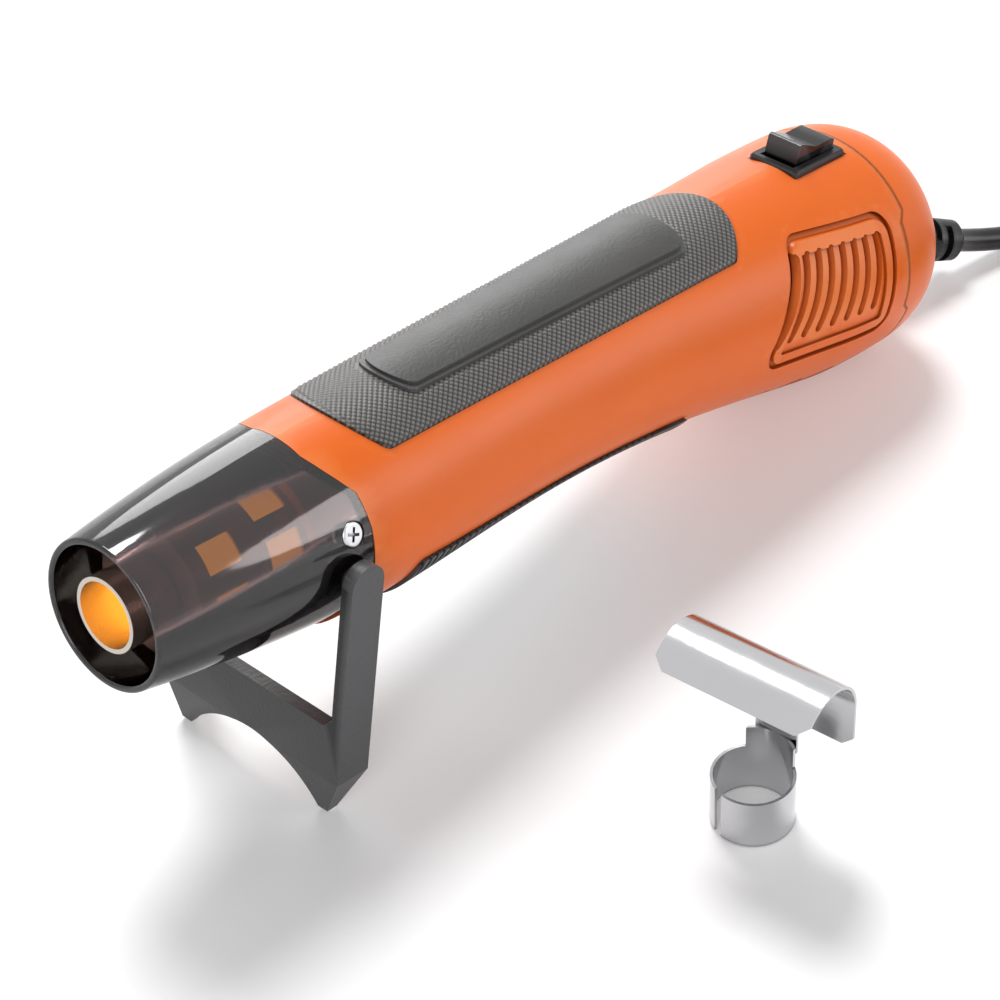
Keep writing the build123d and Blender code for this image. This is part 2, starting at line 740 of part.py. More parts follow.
def make_motor():
    """Steel can of the motor with its front bearing boss."""
    can = rod(motor_start(), motor_end(), MOTOR_RADIUS)
    can = fillet(can.edges().filter_by(GeomType.CIRCLE).sort_by(Axis.X)[0], 1.2)
    for angle in (0, 180):
        can -= Rot(angle, 0, 0) * Pos((motor_start() + motor_end()) / 2, MOTOR_RADIUS + 4, 0) * Box(
            60, 10, 24)
    can += rod(motor_start() - MOTOR_BOSS_LENGTH, motor_start(), MOTOR_BOSS_RADIUS)
    return can - rod(BRACKET_AT - 5, motor_end() + 1, SHAFT_RADIUS + RUNNING_GAP)


def make_end_cap():
    """Plastic end cap of the motor with two solder lugs."""
    cap = rod(motor_end(), motor_end() + END_CAP_LENGTH, MOTOR_RADIUS - 1)
    for angle in (0, 180):
        cap -= Rot(angle, 0, 0) * Pos(motor_end() + END_CAP_LENGTH / 2, MOTOR_RADIUS + 3.9, 0) * Box(
            20, 10, 24)
    for side in (-1, 1):
        cap += Pos(motor_end() + END_CAP_LENGTH, 0, side * 7) * Box(
            4, 2.2, 0.6, align=(Align.MIN, Align.CENTER, Align.CENTER))
    return cap - rod(motor_end() - 1, motor_end() + 20, SHAFT_RADIUS + RUNNING_GAP)


def make_board():
    """Circuit board that slides into the shells on its long edges."""
    plate = Pos(BOARD_AT, 0, BOARD_TOP) * Box(BOARD_LENGTH, 60, BOARD_THICK,
                                              align=(Align.MIN, Align.CENTER, Align.MAX))
    return plate & body_form(-SHELL_WALL - FACE_GAP)


def make_diodes():
    """Four rectifier diodes lying on the board."""
    diodes = []
    for n in range(4):
        x = BOARD_AT + 5 + n * 2.6 * DIODE_RADIUS
        diodes.append(cross_rod(
            x, BOARD_TOP + DIODE_RADIUS, -DIODE_LENGTH / 2, DIODE_LENGTH / 2, DIODE_RADIUS))
    return diodes


def make_capacitor():
    """Suppression capacitor on the board."""
    block = Pos(BOARD_AT + BOARD_LENGTH - 9, 0, BOARD_TOP) * Box(
        CAPACITOR_SIZE[1], CAPACITOR_SIZE[0], CAPACITOR_SIZE[2], align=(Align.CENTER, Align.CENTER, Align.MIN))
    return fillet(block.edges().filter_by(Axis.Z), 1.0)


def make_shell_screws():
    """Shell screws, with flat heads sunk in the right shell."""
    screws = []
    for x, z in SHELL_SCREW_SITES:
        head = cross_rod(x, z, SHELL_HEAD_DEPTH, SHELL_HEAD_DEPTH + 1.6, SHELL_SCREW_HEAD)
        for angle in (0, 90):
            head -= Pos(x, SHELL_HEAD_DEPTH + 1.6, z) * Rot(0, angle, 0) * Box(2.6, 1.4, 0.6)
        screws.append(head + cross_rod(x, z, -10, SHELL_HEAD_DEPTH, SHELL_SCREW_RADIUS))
    return screws


def make_top_grip():
    """Knurled rubber pad let into the top of both shells."""
    return (top_cut(pad_face(FACE_GAP), 0, 40) & body_form(PAD_PROUD)) - body_form(-PAD_SINK)


def make_grip_panel():
    """Smooth raised panel on the knurled pad, with a bevelled edge."""
    step = body_form(PAD_PROUD + PANEL_RISE / 2)
    low = (top_cut(panel_face(), 0, 40) & step) - body_form(PAD_PROUD)
    high = (top_cut(panel_face(0.9), 0, 40) & body_form(PAD_PROUD + PANEL_RISE)) - step
    return low + high


def rib_gap(x):
    """Space between two ribs: a slice of the underside outside an elliptical core."""
    half_width, above, below = section_at(x)
    grow = GRIP_PROUD - GRIP_RIB_DEPTH
    core = Pos(0, (above - below) / 2) * Ellipse(half_width + grow, (above + below) / 2 + grow)
    slice_of_air = Pos(0, GRIP_TOP_FRONT - 20) * Rectangle(80, 40) - core
    return extrude(Plane.YZ.offset(x) * slice_of_air, GRIP_RIB_GAP)


def make_bottom_grip():
    """Soft grip under the waist with fine cross ribs."""
    grip = (grip_space(FACE_GAP) & body_form(GRIP_PROUD)) - body_form(-GRIP_SINK)
    first = GRIP_FRONT + 4
    count = int((GRIP_BACK - GRIP_SLANT_BACK - first) / GRIP_RIB_PITCH)
    return grip - [rib_gap(first + n * GRIP_RIB_PITCH) for n in range(count)]


def make_switch_housing():
    """Frame of the rocker switch, let into the top of the shells."""
    body = Pos(SWITCH_AT, 0, BEZEL_SEAT) * Box(SWITCH_LENGTH, SWITCH_WIDTH, SWITCH_DEPTH,
                                              align=(Align.CENTER, Align.CENTER, Align.MAX))
    bezel = Pos(SWITCH_AT, 0, BEZEL_SEAT) * Box(
        SWITCH_LENGTH + 2 * BEZEL_BORDER, SWITCH_WIDTH + 2 * BEZEL_BORDER, BEZEL_THICK,
        align=(Align.CENTER, Align.CENTER, Align.MIN))
    bezel = fillet(bezel.edges().filter_by(Axis.Z), 1.2)
    bezel = chamfer(bezel.faces().sort_by(Axis.Z)[-1].edges(), 0.5)
    housing = body + bezel
    well_length = ROCKER_LENGTH + 1.9
    well_width = 2 * (ROCKER_HALF_WIDTH + SWING_GAP)
    housing -= Pos(SWITCH_AT, 0, BEZEL_SEAT + 10) * Box(well_length, well_width, 10 + SWITCH_DEPTH - 2.5,
                                                      align=(Align.CENTER, Align.CENTER, Align.MAX))
    return housing - cross_rod(SWITCH_AT, ROCKER_PIVOT_HEIGHT, -rocker_pin_end() - 0.1, rocker_pin_end() + 0.1,
                               ROCKER_PIN + RUNNING_GAP)


def rocker_pin_end():
    return ROCKER_HALF_WIDTH + SWING_GAP + 0.7


def make_rocker():
    """Dished rocker with its trunnions, rear end pressed down."""
    reach = ROCKER_LENGTH / 2
    profile = ((-reach, 1.0), (-reach, ROCKER_RISE), (0, ROCKER_RISE - ROCKER_DISH), (reach, ROCKER_RISE),
               (reach, 1.0), (reach * 0.55, -3.2), (-reach * 0.55, -3.2))
    face = make_face(Polyline(*[(x, 0, z) for x, z in profile], close=True))
    rocker = extrude(face, ROCKER_HALF_WIDTH, both=True, dir=(0, 1, 0))
    ends = rocker.edges().filter_by(Axis.Y).sort_by(Axis.Z)[-2:]
    rocker = fillet(ends, 0.9)
    rocker += cross_rod(0, 0, -rocker_pin_end(), rocker_pin_end(), ROCKER_PIN)
    return Pos(SWITCH_AT, 0, ROCKER_PIVOT_HEIGHT) * Rot(0, ROCKER_TILT, 0) * rocker


def make_terminals():
    """Blade terminals under the switch."""
    low = BEZEL_SEAT - SWITCH_DEPTH
    blades = []
    for n in (-1, 0, 1):
        blades.append(Pos(SWITCH_AT + n * 5.2, 0, low) * Box(*TERMINAL_SIZE,
                                                            align=(Align.CENTER, Align.CENTER, Align.MAX)))
    return blades


def relief_aim():
    """Frame of the strain relief's tapered part, X along it, on the outer face of the rear wall."""
    start = relief_wall() * Pos(CAP_END_WALL + FACE_GAP, 0, 0)
    return start * Rot(0, 0, RELIEF_YAW) * Rot(0, RELIEF_TILT, 0)


def make_relief():
    """Strain relief: a collar on each side of the rear wall and a tapered tail with staggered slots."""
    inside = -FACE_GAP
    outside = CAP_END_WALL + FACE_GAP
    collars = relief_wall() * revolved((
        (inside - RELIEF_COLLAR_THICK, 0), (inside - RELIEF_COLLAR_THICK, RELIEF_COLLAR_RADIUS),
        (inside, RELIEF_COLLAR_RADIUS), (inside, RELIEF_NECK_RADIUS), (outside, RELIEF_NECK_RADIUS),
        (outside, RELIEF_COLLAR_RADIUS), (outside + RELIEF_COLLAR_THICK, RELIEF_COLLAR_RADIUS),
        (outside + RELIEF_COLLAR_THICK, 0),
    ))
    cone = revolved((
        (-4, 0), (-4, RELIEF_BASE_RADIUS), (2, RELIEF_BASE_RADIUS), (RELIEF_LENGTH - 1, RELIEF_TIP_RADIUS),
        (RELIEF_LENGTH, RELIEF_TIP_RADIUS - 0.8), (RELIEF_LENGTH, 0),
    ))
    slots = []
    for n in range(RELIEF_SLOTS):
        x = RELIEF_SLOT_FIRST + n * RELIEF_SLOT_PITCH
        radius = RELIEF_BASE_RADIUS + x / RELIEF_LENGTH * (RELIEF_TIP_RADIUS - RELIEF_BASE_RADIUS)
        slot = ring(x, x + RELIEF_SLOT_WIDTH, radius + 2, radius - RELIEF_SLOT_DEPTH)
        bridge = Box(400, RELIEF_BRIDGE, 30)
        slots.append(Rot(90 * (n % 2), 0, 0) * (slot - bridge))
    beyond = relief_wall() * Pos(outside, 0, 0) * Box(
        60, 60, 60, align=(Align.MIN, Align.CENTER, Align.CENTER))
    return collars + ((relief_aim() * (cone - slots)) & beyond)


def make_cord_tail():
    """Stretch of cord inside the cap, from the strain relief through the clamp."""
    start = -CLAMP_INSET - CLAMP_SIZE[0] - 4
    return relief_wall() * rod(start, -FACE_GAP - RELIEF_COLLAR_THICK, CORD_DIAMETER / 2)


def cord_height():
    """Height of the cord's middle where it lies on the floor."""
    return CORD_DIAMETER / 2 + CORD_FLOOR_GAP


def corner_radii(points):
    """Radius of each corner's arc: as large as the two runs beside it allow."""
    radii = []
    for before, corner, after in zip(points, points[1:], points[2:]):
        come = Vector(*corner) - Vector(*before)
        go = Vector(*after) - Vector(*corner)
        radii.append(0.45 * min(come.length, go.length) / tan(radians(come.get_angle(go)) / 2))
    return radii


def make_cord(tipped):
    """Free stretch of cord from the strain relief down to the floor and along it to the coil."""
    tip = tipped * relief_aim() * Location((RELIEF_LENGTH, 0, 0))
    ahead = tip * Location((1, 0, 0))
    start = tip.position
    aim = ahead.position - start
    landing = start + aim * ((start.Z - cord_height()) / -aim.Z)
    points = [tuple(start), tuple(landing)] + [(x, y, cord_height()) for x, y in CORD_ROUTE]
    radii = corner_radii(points)
    path = FilletPolyline(*points, radius=radii)
    tube = sweep(Plane(origin=start, z_dir=aim) * Circle(CORD_DIAMETER / 2), path)
    print("cord start", points[0], points[1], "radii", [round(r, 1) for r in radii], "length", path.length)
    print("tube volume against section times length",
          tube.volume / (pi * CORD_DIAMETER ** 2 / 4 * path.length))
    return tube


def biarc(start, start_aim, end, end_aim):
    """Two tangent arcs between two points with given directions."""
    chord = end - start
    both = start_aim + end_aim
    spread = 2 * (1 - start_aim.dot(end_aim))
    reach = (-chord.dot(both) + sqrt(chord.dot(both) ** 2 + spread * chord.dot(chord))) / spread
    middle = (start + end + (start_aim - end_aim) * reach) * 0.5
    first = TangentArc(start, middle, tangent=start_aim)
    return [first, TangentArc(middle, end, tangent=first % 1)]


def make_coil_of_cord():
    """The cord's spare length as one plain ring, with the cord's way in and its way out to the plug."""
    half = CORD_DIAMETER / 2
    outermost = COIL_INNER + COIL_PITCH * COIL_LAYER_TURNS
    centre = Vector(CORD_ROUTE[-1][0] - outermost, CORD_ROUTE[-1][1], 0)
    height = CORD_DIAMETER + COIL_PITCH * (COIL_LAYERS - 1) - COIL_TOP_STEP
    outer = outermost - half - COIL_CLEARANCE
    coil = Cylinder(outer, height, align=(Align.CENTER, Align.CENTER, Align.MIN))
    coil -= Cylinder(COIL_INNER - half, height, align=(Align.CENTER, Align.CENTER, Align.MIN))
    coil = fillet(coil.edges().filter_by(GeomType.CIRCLE), COIL_ROUNDING)
    coil = Pos(centre.X, centre.Y, CORD_FLOOR_GAP) * coil

    low = Vector(0, 0, cord_height())
    high = low + Vector(0, 0, COIL_PITCH * (COIL_LAYERS - 1))
    east = centre + Vector(outermost, 0, 0)
    south = centre - Vector(0, outermost - COIL_PITCH / 4, 0)
    slant = Vector(sqrt(0.5), -sqrt(0.5), 0)
    inside = centre + slant * (outer - half)
    way_in = Wire(biarc(east + low, Vector(0, -1, 0), south + low, Vector(-1, 0, 0)))
    lead = Line(south + high, south + high - Vector(COIL_LEAD, 0, 0))
    way_out = Wire(
        biarc(inside + high, Vector(slant.Y, -slant.X, 0), south + high, Vector(-1, 0, 0)) + [lead])
    for way in (way_in, way_out):
        coil += sweep(Plane(origin=way @ 0, z_dir=way % 0) * Circle(half), way)
    return coil, Location(Plane(origin=lead @ 1, x_dir=lead % 1, z_dir=(0, 0, 1)))


def make_plug(place):
    """Moulded two-blade plug lying beside the coil, X towards the blades."""
    length, width = PLUG_GRIP
    thick = 2 * place.position.Z
    grip = Pos(PLUG_TAIL_LENGTH, 0, 0) * Box(
        length, width, thick, align=(Align.MIN, Align.CENTER, Align.CENTER))
    grip = fillet(grip.edges().filter_by(Axis.X), thick * 0.4)
    tail = loft([
        (Plane.YZ * Circle(PLUG_TAIL_RADIUS)).face(),
        (Plane.YZ.offset(PLUG_TAIL_LENGTH * 0.6) * Circle(PLUG_TAIL_RADIUS * 1.2)).face(),
        (Plane.YZ.offset(PLUG_TAIL_LENGTH) * Ellipse(width * 0.42, thick * 0.42)).face(),
    ])
    body = tail + grip
    front = body.faces().sort_by(Axis.X)[-1]
    body = fillet(front.edges(), 1.0)
    face = PLUG_TAIL_LENGTH + length
    blades = []
    roots = []
    for side in (-1, 1):
        blade_at = Pos(face - BLADE_ROOT, side * BLADE_SPREAD / 2, 0)
        blade = blade_at * Box(BLADE_SIZE[0] + BLADE_ROOT, BLADE_SIZE[1], BLADE_SIZE[2],
                               align=(Align.MIN, Align.CENTER, Align.CENTER))
        roots.append(blade)
        end = blade.edges().filter_by(Axis.Y).group_by(Axis.X)[-1]
        blade = chamfer(end, 1.2)
        hole = cross_rod(face + BLADE_SIZE[0] - 4, 0, -30, 30, BLADE_HOLE)
        blades.append(place * (blade - hole))
    return place * (body - roots), blades


def make_stand():
    """One-piece moulded stand: two legs, a front plate with an arch, pointed feet and pivot pins."""
    outer = LEG_GAP + LEG_THICK
    low = PIVOT_HEIGHT - STAND_DROP
    bar_top = PIVOT_HEIGHT - BAR_DROP
    front = PIVOT_AT - LEG_WIDTH / 2
    lean = STAND_LEAN
    side_view = make_face([
        Polyline((front, 0, PIVOT_HEIGHT),
                 (front - lean, 0, low + FOOT_HEEL_DROP), (front - lean + 1.2, 0, low),
                 (front - lean + 1.2 + FOOT_LAND, 0, low),
                 (front - lean + LEG_WIDTH, 0, low + FOOT_HEEL_DROP), (front + LEG_WIDTH, 0, PIVOT_HEIGHT)),
        ThreePointArc((front + LEG_WIDTH, 0, PIVOT_HEIGHT), (PIVOT_AT, 0, PIVOT_HEIGHT + LEG_WIDTH / 2),
                      (front, 0, PIVOT_HEIGHT)),
    ])
    block = extrude(side_view, outer, both=True, dir=(0, 1, 0))
    foot = outer - FOOT_TUCK
    front_view = make_face([
        Polyline((0, -outer, PIVOT_HEIGHT + LEG_WIDTH), (0, -outer, low + FOOT_HEEL_DROP), (0, -foot, low),
                 (0, -foot + FOOT_LAND, low)),
        ThreePointArc((0, -foot + FOOT_LAND, low), (0, 0, low + ARCH_RISE), (0, foot - FOOT_LAND, low)),
        Polyline((0, foot - FOOT_LAND, low), (0, foot, low), (0, outer, low + FOOT_HEEL_DROP),
                 (0, outer, PIVOT_HEIGHT + LEG_WIDTH), (0, -outer, PIVOT_HEIGHT + LEG_WIDTH)),
    ])
    stand = block & extrude(front_view, 100, dir=(1, 0, 0))
    window = make_face(Polyline(
        (0, -LEG_GAP, 20), (0, -LEG_GAP, bar_top + 2), (0, -LEG_GAP + 2, bar_top), (0, LEG_GAP - 2, bar_top),
        (0, LEG_GAP, bar_top + 2), (0, LEG_GAP, 20), close=True))
    stand -= extrude(window, 100, dir=(1, 0, 0))
    behind = make_face(Polyline(
        (front - lean * (BAR_DROP - 4) / STAND_DROP + BAR_THICK, 0, bar_top + 3),
        (front - lean + BAR_THICK, 0, low + FOOT_HEEL_DROP), (front - lean + BAR_THICK, 0, low - 1),
        (front + 40, 0, low - 1), (front + 40, 0, bar_top + 3), close=True))
    stand -= extrude(behind, LEG_GAP - 0.8, both=True, dir=(0, 1, 0))
    pin_end = neck_radius() - NECK_WALL + 0.6
    for side in (-1, 1):
        ends = sorted((side * pin_end, side * (LEG_GAP + 0.5)))
        stand += cross_rod(PIVOT_AT, PIVOT_HEIGHT, ends[0], ends[1], PIN_RADIUS)
    return stand


def make_reflector():
    """Bent sheet-steel reflector: split clip ring, neck with a bead and a curled hood."""
    inner = NOZZLE_RADIUS + CLIP_GAP
    outer = inner + SHEET
    clip = Cylinder(outer, CLIP_HEIGHT, align=(Align.CENTER, Align.CENTER, Align.MIN))
    clip -= Cylinder(inner, CLIP_HEIGHT, align=(Align.CENTER, Align.CENTER, Align.MIN))
    clip -= Rot(0, 0, 160) * Box(20, CLIP_SLIT, 40, align=(Align.MIN, Align.CENTER, Align.CENTER))
    stub = Cylinder(outer, CLIP_HEIGHT + 5, align=(Align.CENTER, Align.CENTER, Align.MIN))
    stub -= Cylinder(inner, CLIP_HEIGHT + 5, align=(Align.CENTER, Align.CENTER, Align.MIN))
    stub &= Pos(outer, 0, 0) * Box(outer, NECK_PLATE_WIDTH + 1.4, 60)
    neck_top = CLIP_HEIGHT + NECK_PLATE_HEIGHT
    neck = Pos(outer - SHEET, 0, CLIP_HEIGHT + 2) * Box(
        SHEET, NECK_PLATE_WIDTH, NECK_PLATE_HEIGHT, align=(Align.MIN, Align.CENTER, Align.MIN))
    bead = Pos(outer - SHEET / 2, 0, CLIP_HEIGHT + 5) * Cylinder(
        BEAD_WIDTH / 2, BEAD_LENGTH, align=(Align.CENTER, Align.CENTER, Align.MIN))
    bead = fillet(bead.edges().filter_by(GeomType.CIRCLE), BEAD_WIDTH * 0.45)
    bead &= Pos(outer - SHEET, 0, 0) * Box(5, 20, 80, align=(Align.MIN, Align.CENTER, Align.MIN))
    curl_at = neck_top + HOOD_BACK
    back = outer
    end = radians(HOOD_SWEEP)

    def curl(radius, angle):
        return (back - HOOD_RADIUS + radius * cos(angle), 0, curl_at + radius * sin(angle))

    outside = HOOD_RADIUS
    inside = HOOD_RADIUS - SHEET
    outline = [
        Line((back, 0, neck_top), (back, 0, curl_at)),
        ThreePointArc((back, 0, curl_at), curl(outside, end / 2), curl(outside, end)),
        Line(curl(outside, end), curl(inside, end)),
        ThreePointArc(curl(inside, end), curl(inside, end / 2), (back - SHEET, 0, curl_at)),
        Line((back - SHEET, 0, curl_at), (back - SHEET, 0, neck_top)),
        Line((back - SHEET, 0, neck_top), (back, 0, neck_top)),
    ]
    hood = extrude(make_face(outline), HOOD_WIDTH / 2, both=True, dir=(0, 1, 0))
    corner = HOOD_CHAMFER * sqrt(2)
    for side in (-1, 1):
        hood -= Pos(back, side * HOOD_WIDTH / 2, neck_top) * Rot(45, 0, 0) * Box(6, corner, corner)
        tip = curl((outside + inside) / 2, end)
        hood -= Pos(tip[0], side * HOOD_WIDTH / 2, tip[2]) * Rot(0, 90 - HOOD_SWEEP, 0) * Rot(0, 0, 45) * Box(
            corner, corner, 6)
    return clip + stub + neck + bead + hood


def lowest(points, pitch):
    """Height of the lowest of some points after the tool is tipped up by a pitch."""
    return min(-p.X * sin(pitch) + p.Z * cos(pitch) for p in points)


def resting_pitch(body_points, foot_points):
    """Angle at which the feet and the rear underside are level."""
    low, high = 0.0, radians(30)
    for _ in range(40):
        middle = (low + high) / 2
        if lowest(foot_points, middle) < lowest(body_points, middle):
            low = middle
        else:
            high = middle
    return (low + high) / 2


def mesh_points(shape, tolerance=0.1):
    return shape.tessellate(tolerance)[0]


def moved(place, piece):
    """A piece, or each solid of a list, put in its place."""
    if isinstance(piece, list):
        return [place * solid for solid in piece]
    return place * piece


def whole_box(pieces):
    """Box round all the pieces."""
    box = None
    for piece in pieces:
        for solid in piece if isinstance(piece, list) else [piece]:
            box = solid.bounding_box() if box is None else box.add(solid.bounding_box())
    return box


def join(pieces):
    """One shape from a piece or a list of pieces."""
    if isinstance(pieces, (list, tuple)):
        return Compound(children=list(pieces))
    return pieces


def tool_pieces():
    """Every piece that tips with the tool."""
    left, right = make_shells()
    return {
        "front_cover": make_cover(),
        "cover_screws": make_cover_screws(),
        "nozzle_tube": make_nozzle(),
        "heater_shroud": make_shroud(),
        "mica_sleeve": make_sleeve(),
        "mica_cross": make_cross(),
        "heater_coil": make_coil(),
        "heater_base": make_base(),
        "thermal_cutout": make_cutout(),
        "fan_impeller": make_fan(),
        "motor_shaft": make_shaft(),
        "motor_bracket": make_bracket(),
        "motor_can": make_motor(),
        "motor_end_cap": make_end_cap(),
        "supply_board": make_board(),
        "rectifier_diodes": make_diodes(),
        "suppression_capacitor": make_capacitor(),
        "left_shell": left,
        "right_shell": right,
        "shell_screws": make_shell_screws(),
        "rear_cap": make_rear_cap(),
        "top_grip": make_top_grip(),
        "grip_panel": make_grip_panel(),
        "bottom_grip": make_bottom_grip(),
        "switch_housing": make_switch_housing(),
        "rocker": make_rocker(),
        "switch_terminals": make_terminals(),
        "strain_relief": make_relief(),
        "cord_clamp": make_cord_clamp(),
        "clamp_screws": make_clamp_screws(),
        "cord_tail": make_cord_tail(),
        "stand": make_stand(),
    }


pieces = tool_pieces()
foot_points = mesh_points(pieces["stand"])
body_points = mesh_points(body_form())
pitch = resting_pitch(body_points, foot_points)
lift = -lowest(foot_points, pitch)
tipped = Pos(0, 0, lift) * Rot(0, degrees(pitch), 0)
print("pitch", degrees(pitch), "lift", lift)
standing = {name: moved(tipped, piece) for name, piece in pieces.items()}
standing["reflector"] = Pos(*REFLECTOR_AT, 0) * Rot(0, 0, REFLECTOR_TURN) * make_reflector()
middle = whole_box(standing.values()).center()
centred = Pos(-round(middle.X, 1), -round(middle.Y, 1), 0)
print("shift", centred.position)
placed = {name: moved(centred, piece) for name, piece in standing.items()}
placed["cord"] = make_cord(centred * tipped)
placed["cord_coil"], plug_place = make_coil_of_cord()
placed["plug_body"], placed["plug_blades"] = make_plug(plug_place)

os.makedirs("parts", exist_ok=True)
for name, piece in placed.items():
    export_step(join(piece), f"parts/{name}.step")
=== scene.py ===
"""Looks of the embossing heat tool: camera, cord, knurled grip, materials, lamps and floor.

Lengths are in metres and angles in degrees, in the part's frame.
"""
import json
from math import cos, pi, radians, sin

import bpy
from mathutils import Matrix, Quaternion, Vector
from mathutils.bvhtree import BVHTree


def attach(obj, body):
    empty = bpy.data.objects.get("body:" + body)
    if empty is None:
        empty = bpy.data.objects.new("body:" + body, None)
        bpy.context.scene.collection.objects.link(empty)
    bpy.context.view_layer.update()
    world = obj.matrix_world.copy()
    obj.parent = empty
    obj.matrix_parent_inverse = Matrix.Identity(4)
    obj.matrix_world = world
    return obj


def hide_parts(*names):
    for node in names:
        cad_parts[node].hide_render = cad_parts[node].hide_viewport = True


# Camera: where it stands, where it looks, how it is rolled, and its lens in millimetres
CAMERA_AT = (-0.3436, -0.2760, 0.3978)
CAMERA_AZIMUTH = 44.39
CAMERA_DOWN = 40.11
CAMERA_ROLL = 3.28
CAMERA_LENS = 100.8
CAMERA_SENSOR = 36
CAMERA_NEAR = 0.01

# Tool: how far its nozzle points up, and the middle of its mouth
PITCH = 8.88
MOUTH = (-0.1271, 0.0375, 0.06066)

# Cord: its thickness and length, how finely it is drawn, and its way over the floor to the coil
CORD_DIAMETER = 0.0056
CORD_SIDES = 5
CORD_STEPS = 6
CORD_ROUTE = (
    (0.1274, 0.0285, 0.0081),
    (0.1406, 0.0234, 0.0029),
    (0.1540, 0.0175, 0.0029),
    (0.1750, 0.0060, 0.0029),
    (0.1935, -0.0105, 0.0029),
    (0.2050, -0.0315, 0.0029),
)

# Coil: it winds inwards on the floor, rises by a layer within half a turn and winds out again
COIL_ENTRY = (0.2050, -0.0515)
COIL_FLOOR = 0.0029
COIL_PITCH = 0.00605
COIL_INNER = 0.0209
COIL_LAYER_TURNS = 4
COIL_RISE_TURNS = 0.5
COIL_LAST_TURN = 8.25
COIL_STEPS = 16
COIL_LEAD = 0.028

# Knurled grip: distance and height of its ridges, and the tool's radius under them
KNURL_PITCH = 0.0014
KNURL_HEIGHT = 0.0003
KNURL_RADIUS = 0.023
# Its grid: the step, the reach each way round the tool, the steps left bare at the rim, and how
# deep the rim dips, as a share of the height
KNURL_STEP = 0.00028
KNURL_SPAN = 75
KNURL_RIM = 2
KNURL_DIP = 0.05
# Rays that find the grip: how far out they start, and the least share that it has to face them
RAY_START = 0.06
LEAST_FACING = 0.6

# Groove where the rear cap meets the shells: its place, its step on the flanks, its half width,
# its depth, the strength of the painted shade in it, and the shells' grain as a share of its depth
CAP_SEAM = 0.2145
CAP_JOG = 0.002
CAP_JOG_TOP = 0.014
CAP_JOG_BOTTOM = -0.005
CAP_GROOVE = 0.0007
CAP_GROOVE_DEPTH = 0.0005
CAP_GROOVE_SHADE = 0.55
SHELL_GRAIN = 0.04

# Worn edges: the pointiness where the wear starts and where it is full, and its share then
WORN_FROM = 0.53
WORN_FULL = 0.62
WORN_SHARE = 0.6

# Painted shade in gaps: the openness at which it is darkest and at which it ends, and its darkest
# share
GAP_CLOSED = 0.45
GAP_OPEN = 0.95
GAP_SHADE = 0.25
GAP_SAMPLES = 6

# Clear part of the smoked cover: its tint, its share of surface colour, its gloss
SMOKE_TINT = (0.52, 0.40, 0.40, 1)
SMOKE_SURFACE = 0.16
SMOKE_ROUGHNESS = 0.06
SMOKE_IOR = 1.65

# Colours from 0 to 255, as in a photograph
SHELL_COLOR = (243, 114, 30)
SHELL_PATCHES = (236, 102, 30)
SHELL_WORN = (250, 140, 74)
SMOKE_COLOR = (40, 34, 36)
KNURL_BASE = (40, 40, 41)
# Painted shade in the knurl's valleys and painted highlight on its diamonds' tops
KNURL_VALLEY_SHADE = (6, 6, 6)
KNURL_TOP_HIGHLIGHT = (122, 119, 115)
PLASTIC_WORN = (110, 110, 112)

# Plastics, rubbers and ceramic: colour, roughness, fineness of the grain and its depth
PLASTICS = {
    "ceramic": ((205, 200, 190), 0.6, 900, 0.00006),
    "black_plastic": ((20, 20, 21), 0.35, 900, 0.00006),
    "board": ((40, 96, 52), 0.4, 900, 0.00006),
    "capacitor": ((196, 150, 40), 0.3, 900, 0.00006),
    "smooth_pad": ((62, 61, 60), 0.42, 1500, 0.0001),
    "ribbed_rubber": ((34, 34, 35), 0.5, 900, 0.00006),
    "rocker_plastic": ((12, 12, 13), 0.15, 900, 0.00001),
    "relief_rubber": ((18, 18, 20), 0.4, 900, 0.00006),
    "cord_rubber": ((22, 20, 23), 0.3, 900, 0.00006),
    "stand_plastic": ((30, 31, 31), 0.42, 1300, 0.0001),
}
# Metals: colour, roughness, and how the fine lines are squeezed along, across and up the tool
METALS = {
    "steel_screw": ((205, 205, 208), 0.24, (1, 30, 30)),
    "nozzle_steel": ((205, 196, 184), 0.26, (30, 1, 1)),
    "motor_steel": ((180, 180, 182), 0.3, (1, 30, 30)),
    "brass": ((214, 186, 112), 0.25, (1, 30, 30)),
    "reflector_steel": ((198, 198, 200), 0.16, (1, 1, 26)),
}
# Heater pieces with a painted glow: colour, colour of the painted glow, and its strength
PAINTED_GLOW_PIECES = {
    "mica": ((176, 110, 60), (255, 200, 70), 1.5),
    "heating_wire": ((200, 120, 60), (255, 150, 30), 6.0),
}

# Lamps: the sun's direction, spread and strength; the discs' places, targets, sizes and powers
SUN = ("key", (0.30, 0.42, 0.85), 20, 2.1)
DISCS = (
    ("back left", (0.60, 0.80, 0.42), (-0.08, 0.03, 0.05), 0.6, 3.9),
    ("back right", (0.60, -0.80, 0.36), (-0.08, 0.03, 0.05), 0.6, 3.6),
    ("front", (-0.70, -0.30, 0.45), (0, 0, 0.04), 0.5, 2.0),
)

# Surroundings and floor, in the renderer's own values
WHITE = (1, 1, 1, 1)
WORLD_LIGHT = (0.17, 0.17, 0.18, 1)
FLOOR_SIZE = 8
FLOOR_DROP = 0.0002
FLOOR_COLOR = (0.8, 0.8, 0.8, 1)
FLOOR_ROUGHNESS = 0.5
FLOOR_GLOW = 0.22

# Edges sharper than this stay edges where surfaces are shaded round
SHARP_ANGLE = 32

